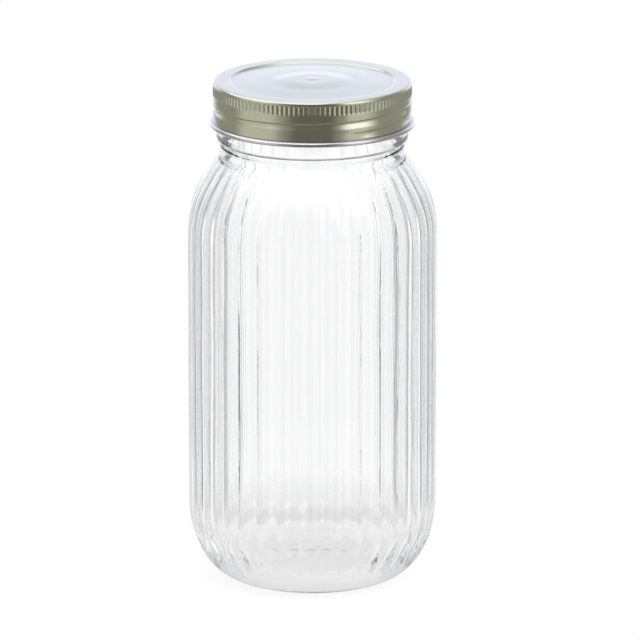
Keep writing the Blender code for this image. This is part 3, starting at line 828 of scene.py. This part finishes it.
class Nodes:
    """Short forms for the nodes of one tree."""

    def __init__(self, tree):
        self.tree = tree

    def add(self, kind, **settings):
        node = self.tree.nodes.new(kind)
        for key, value in settings.items():
            setattr(node, key, value)
        return node

    def put(self, socket, value):
        if isinstance(value, bpy.types.NodeSocket):
            self.tree.links.new(value, socket)
        else:
            socket.default_value = value

    def math(self, operation, *values):
        node = self.add("ShaderNodeMath", operation=operation)
        for socket, value in zip(node.inputs, values):
            self.put(socket, value)
        return node.outputs[0]

    def ramp(self, value, from_min, from_max, to_min=0.0, to_max=1.0):
        node = self.add("ShaderNodeMapRange", interpolation_type="SMOOTHSTEP")
        for key, number in (("Value", value), ("From Min", from_min), ("From Max", from_max),
                            ("To Min", to_min), ("To Max", to_max)):
            self.put(node.inputs[key], number)
        return node.outputs["Result"]

    def mix(self, share, first, second):
        node = self.add("ShaderNodeMix", data_type="RGBA")
        self.put(node.inputs["Factor"], share)
        self.put(node.inputs[6], first)
        self.put(node.inputs[7], second)
        return node.outputs[2]

    def noise(self, vector, scale, detail=2.0):
        node = self.add("ShaderNodeTexNoise")
        self.put(node.inputs["Vector"], vector)
        self.put(node.inputs["Scale"], scale)
        self.put(node.inputs["Detail"], detail)
        return node.outputs["Fac"]

    def scaled(self, vector, size):
        node = self.add("ShaderNodeMapping")
        self.put(node.inputs["Vector"], vector)
        node.inputs["Scale"].default_value = size
        return node.outputs["Vector"]

    def bump(self, height, distance, normal=None):
        node = self.add("ShaderNodeBump")
        self.put(node.inputs["Height"], height)
        node.inputs["Distance"].default_value = distance
        if normal is not None:
            self.put(node.inputs["Normal"], normal)
        return node.outputs["Normal"]

    def times(self, *values):
        product = values[0]
        for value in values[1:]:
            product = self.math("MULTIPLY", product, value)
        return product

    def fall(self, value, start, end):
        """1 up to start, and 0 from end on."""
        return self.ramp(value, start, end, 1.0, 0.0)

    def band(self, value, rise, top, fall, end):
        return self.times(self.ramp(value, rise, top), self.fall(value, fall, end))

    def parts(self, vector):
        split = self.add("ShaderNodeSeparateXYZ")
        self.put(split.inputs[0], vector)
        return split.outputs


def new_material(name):
    material = bpy.data.materials.new(name)
    material.use_nodes = True
    nodes = Nodes(material.node_tree)
    shader = material.node_tree.nodes["Principled BSDF"]
    where = nodes.add("ShaderNodeTexCoord").outputs["Object"]
    return material, nodes, shader.inputs, where


def glass_material():
    material, nodes, shader, where = new_material("clear_glass")
    x, y, z = nodes.parts(where)
    shader["Base Color"].default_value = CLEAR
    shader["IOR"].default_value = GLASS_IOR
    shader["Transmission Weight"].default_value = 1.0
    haze = nodes.noise(where, HAZE_SCALE, 3.0)
    nodes.put(shader["Roughness"], nodes.ramp(haze, *HAZE))
    wave = nodes.noise(nodes.scaled(where, WAVE_STRETCH), WAVE_SCALE)
    speck = nodes.noise(where, SPECK_SCALE, 3.0)
    rough = nodes.math("ADD", nodes.times(wave, WAVE_share), nodes.times(speck, SPECK_share))
    seam_angle = FRONT + math.radians(SEAM_DEG)
    off_seam = nodes.math("ADD", nodes.times(x, -math.sin(seam_angle)), nodes.times(y, math.cos(seam_angle)))
    seam = nodes.fall(nodes.math("ABSOLUTE", off_seam), 0.0, SEAM_HALF)
    surface = nodes.bump(rough, GLASS_RELIEF)
    nodes.put(shader["Normal"], nodes.bump(seam, SEAM_RELIEF, normal=surface))
    return material


def lacquer_material():
    material, nodes, shader, where = new_material("gold_lacquer")
    x, y, z = nodes.parts(where)
    cloud = nodes.noise(where, CLOUD_SCALE, 3.0)
    gold = nodes.mix(nodes.ramp(cloud, *CLOUD), GOLD_DARK, GOLD_PALE)
    above_roll = nodes.math("SUBTRACT", z, CAP_LOW + CURL_HEIGHT)
    radius = nodes.math("SQRT", nodes.math("ADD", nodes.times(x, x), nodes.times(y, y)))
    outside = nodes.math("SUBTRACT", radius, BAND_RADIUS)
    skin = nodes.mix(nodes.fall(above_roll, *SILVER_END), gold, SILVER)
    # Painted shade: darkens the colour in the crease just above the rolled edge, fading out away from the
    # skirt's surface
    crevice_shade = nodes.band(above_roll, *CREVICE_SHADE_RISE, *CREVICE_SHADE_FALL)
    crevice_shade = nodes.times(crevice_shade, nodes.fall(outside, *CREVICE_SHADE_OUT), CREVICE_SHADE_share)
    nodes.put(shader["Base Color"], nodes.mix(crevice_shade, skin, CREVICE_SHADE))
    shader["Metallic"].default_value = 1.0
    grit = nodes.times(nodes.noise(where, GRIT_SCALE), GRIT_share)
    nodes.put(shader["Roughness"], nodes.ramp(nodes.math("ADD", cloud, grit), *CAP_ROUGHNESS))
    shader["Coat Weight"].default_value = COAT
    shader["Coat Roughness"].default_value = COAT_ROUGHNESS
    shader["Coat IOR"].default_value = COAT_IOR
    nodes.put(shader["Normal"], nodes.bump(nodes.noise(where, PEEL_SCALE), PEEL_RELIEF))
    return material


def liner_material():
    material, nodes, shader, where = new_material("liner")
    cloud = nodes.noise(where, LINER_CLOUD_SCALE, 3.0)
    nodes.put(shader["Base Color"], nodes.mix(cloud, LINER_DARK, LINER_PALE))
    nodes.put(shader["Roughness"], nodes.ramp(cloud, *LINER_ROUGHNESS))
    nodes.put(shader["Normal"], nodes.bump(nodes.noise(where, LINER_GRAIN_SCALE), LINER_RELIEF))
    return material


# Pieces on their bodies
jar = make_jar()
cap = make_cap()
seal = make_seal()
for piece, body, node, slot, material in (
        (jar, "jar", "glass_jar", "clear_glass", glass_material()),
        (cap, "cap", "screw_cap", "gold_lacquer", lacquer_material()),
        (seal, "seal", "sealing_ring", "liner", liner_material())):
    piece.data.materials.append(material)
    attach(piece, body)
    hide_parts(node)


# Surroundings


def make_floor():
    """A pale disc that fades out into the white around it, and keeps the jar's shadow."""
    bm = bmesh.new()
    bmesh.ops.create_circle(bm, cap_ends=True, segments=FLOOR_FACETS, radius=FLOOR_OUT)
    mesh = bpy.data.meshes.new("floor")
    bm.to_mesh(mesh)
    bm.free()
    floor = bpy.data.objects.new("floor", mesh)
    floor.location = (0.0, 0.0, -FLOOR_SINK)
    bpy.context.scene.collection.objects.link(floor)
    material = bpy.data.materials.new("floor")
    material.use_nodes = True
    tree = material.node_tree
    nodes = Nodes(tree)
    tree.nodes.remove(tree.nodes["Principled BSDF"])
    length = nodes.add("ShaderNodeVectorMath", operation="LENGTH")
    nodes.put(length.inputs[0], nodes.add("ShaderNodeTexCoord").outputs["Object"])
    radius = length.outputs["Value"]
    fade = nodes.ramp(radius, FLOOR_IN, FLOOR_OUT)
    rays = nodes.add("ShaderNodeLightPath").outputs
    through_glass = nodes.ramp(nodes.band(radius, *FLOOR_DIM_RING), 0.0, 1.0, *FLOOR_GLASS_GLOW)
    strength = nodes.times(rays["Is Camera Ray"], FLOOR_CAMERA_GLOW)
    for kind, glow in (("Is Glossy Ray", FLOOR_GLOSSY_GLOW), ("Is Transmission Ray", through_glass)):
        strength = nodes.math("ADD", strength, nodes.times(rays[kind], glow))
    matt = nodes.add("ShaderNodeBsdfDiffuse")
    matt.inputs["Color"].default_value = FLOOR_COLOUR
    light = nodes.add("ShaderNodeEmission")
    nodes.put(light.inputs["Strength"], strength)
    both = nodes.add("ShaderNodeAddShader")
    nodes.put(both.inputs[0], matt.outputs[0])
    nodes.put(both.inputs[1], light.outputs[0])
    clear = nodes.add("ShaderNodeBsdfTransparent")
    mixed = nodes.add("ShaderNodeMixShader")
    nodes.put(mixed.inputs[0], fade)
    nodes.put(mixed.inputs[1], both.outputs[0])
    nodes.put(mixed.inputs[2], clear.outputs[0])
    nodes.put(tree.nodes["Material Output"].inputs["Surface"], mixed.outputs[0])
    mesh.materials.append(material)


def seen_through_glass(nodes, azimuth, z):
    """Bright windows with grey between them, straight ahead a plain white."""
    across = nodes.math("ABSOLUTE", azimuth)
    straight = nodes.fall(across, *AHEAD_DEG)
    pane = nodes.math("PINGPONG", nodes.math("ADD", across, PANE_START_DEG), PANE_DEG)
    window = nodes.math("MAXIMUM", straight, nodes.fall(pane, *PANE_EDGE_DEG))
    bright = nodes.mix(nodes.ramp(z, *PANE_LOW_END), PANE_LOW, PANE)
    low = nodes.mix(window, PANE_GAP, bright)
    wall = nodes.mix(window, WALL_GAP, WALL_PANE)
    through = nodes.mix(nodes.ramp(z, *WALL_RISE), low, wall)
    return nodes.mix(nodes.ramp(nodes.math("ABSOLUTE", z), *OVERHEAD_RISE), through, OVERHEAD)


def seen_in_metal(nodes, direction, azimuth, y, z):
    """Soft boxes left and right of a darker room, pale behind the jar. The glass reflects them too."""
    side = nodes.math("SUBTRACT", HALF_TURN_DEG, nodes.math("ABSOLUTE", azimuth))
    signed = nodes.times(side, nodes.math("SIGN", azimuth))
    level = ROOM
    for rise, top, fall, end, gain in ROOM_BANDS_DEG:
        level = nodes.math("ADD", level, nodes.times(nodes.band(signed, rise, top, fall, end), gain))
    studio = nodes.add("ShaderNodeCombineColor")
    for socket in studio.inputs:
        nodes.put(socket, level)
    mirror = nodes.mix(nodes.ramp(z, *GROUND_END), GROUND, studio.outputs[0])
    mirror = nodes.mix(nodes.ramp(side, *FLANK_DEG), mirror, FLANK)
    sky = nodes.mix(nodes.ramp(z, *SKY_RISE[:2]), SKY_LOW, SKY_MIDDLE)
    sky = nodes.mix(nodes.ramp(z, *SKY_RISE[1:]), sky, SKY_HIGH)
    behind = nodes.times(nodes.ramp(y, *BEHIND), nodes.ramp(z, *BEHIND_RISE))
    mirror = nodes.mix(behind, mirror, sky)
    mirror = nodes.mix(nodes.ramp(z, *CEILING_RISE), mirror, CEILING)
    box = nodes.times(nodes.band(signed, *SOFT_BOX_DEG), nodes.band(z, *SOFT_BOX_RISE))
    mirror = nodes.mix(box, mirror, SOFT_BOX)
    slant = nodes.math("SUBTRACT", signed, nodes.ramp(z, *EDGE_BOX_SLANT))
    edge = nodes.times(nodes.ramp(signed, *EDGE_BOX_LEFT_DEG), nodes.fall(slant, *EDGE_BOX_RIGHT_DEG),
                       nodes.ramp(z, *EDGE_BOX_RISE))
    mirror = nodes.mix(edge, mirror, EDGE_BOX)
    toward = nodes.add("ShaderNodeVectorMath", operation="DOT_PRODUCT")
    nodes.put(toward.inputs[0], direction)
    toward.inputs[1].default_value = Vector(LEFT_BOX_WAY).normalized()
    return nodes.mix(nodes.ramp(toward.outputs["Value"], *LEFT_BOX_RANGE), mirror, LEFT_BOX)


def make_world():
    """White background. Glass and metal see their own surroundings."""
    world = bpy.data.worlds.new("studio")
    bpy.context.scene.world = world
    world.use_nodes = True
    tree = world.node_tree
    nodes = Nodes(tree)
    direction = nodes.add("ShaderNodeTexCoord").outputs["Generated"]
    x, y, z = nodes.parts(direction)
    azimuth = nodes.times(nodes.math("ARCTAN2", x, y), HALF_TURN_DEG / math.pi)
    rays = nodes.add("ShaderNodeLightPath").outputs
    colour = nodes.mix(rays["Is Glossy Ray"], SURROUNDINGS, seen_in_metal(nodes, direction, azimuth, y, z))
    colour = nodes.mix(rays["Is Transmission Ray"], colour, seen_through_glass(nodes, azimuth, z))
    colour = nodes.mix(rays["Is Camera Ray"], colour, WHITE)
    back = tree.nodes["Background"]
    nodes.put(back.inputs["Color"], colour)
    back.inputs["Strength"].default_value = 1.0


def aim(thing, place, target):
    thing.location = place
    thing.rotation_euler = (Vector(target) - Vector(place)).to_track_quat("-Z", "Y").to_euler()
    bpy.context.scene.collection.objects.link(thing)


def make_lamp():
    data = bpy.data.lights.new("soft box", "AREA")
    data.shape = "RECTANGLE"
    data.size = LAMP_SIDE
    data.size_y = LAMP_SIDE
    data.energy = LAMP_POWER
    lamp = bpy.data.objects.new("soft box", data)
    lamp.visible_glossy = False
    aim(lamp, LAMP_PLACE, LAMP_TARGET)


def make_camera():
    data = bpy.data.cameras.new("camera")
    data.lens = LENS
    data.sensor_width = SENSOR
    data.clip_end = SIGHT
    camera = bpy.data.objects.new("camera", data)
    aim(camera, CAMERA_PLACE, CAMERA_TARGET)
    bpy.context.scene.camera = camera


make_floor()
make_world()
make_lamp()
make_camera()
scene = bpy.context.scene
scene.view_settings.view_transform = "Standard"
scene.cycles.max_bounces = BOUNCES
scene.cycles.glossy_bounces = GLOSSY_BOUNCES
scene.cycles.transmission_bounces = BOUNCES
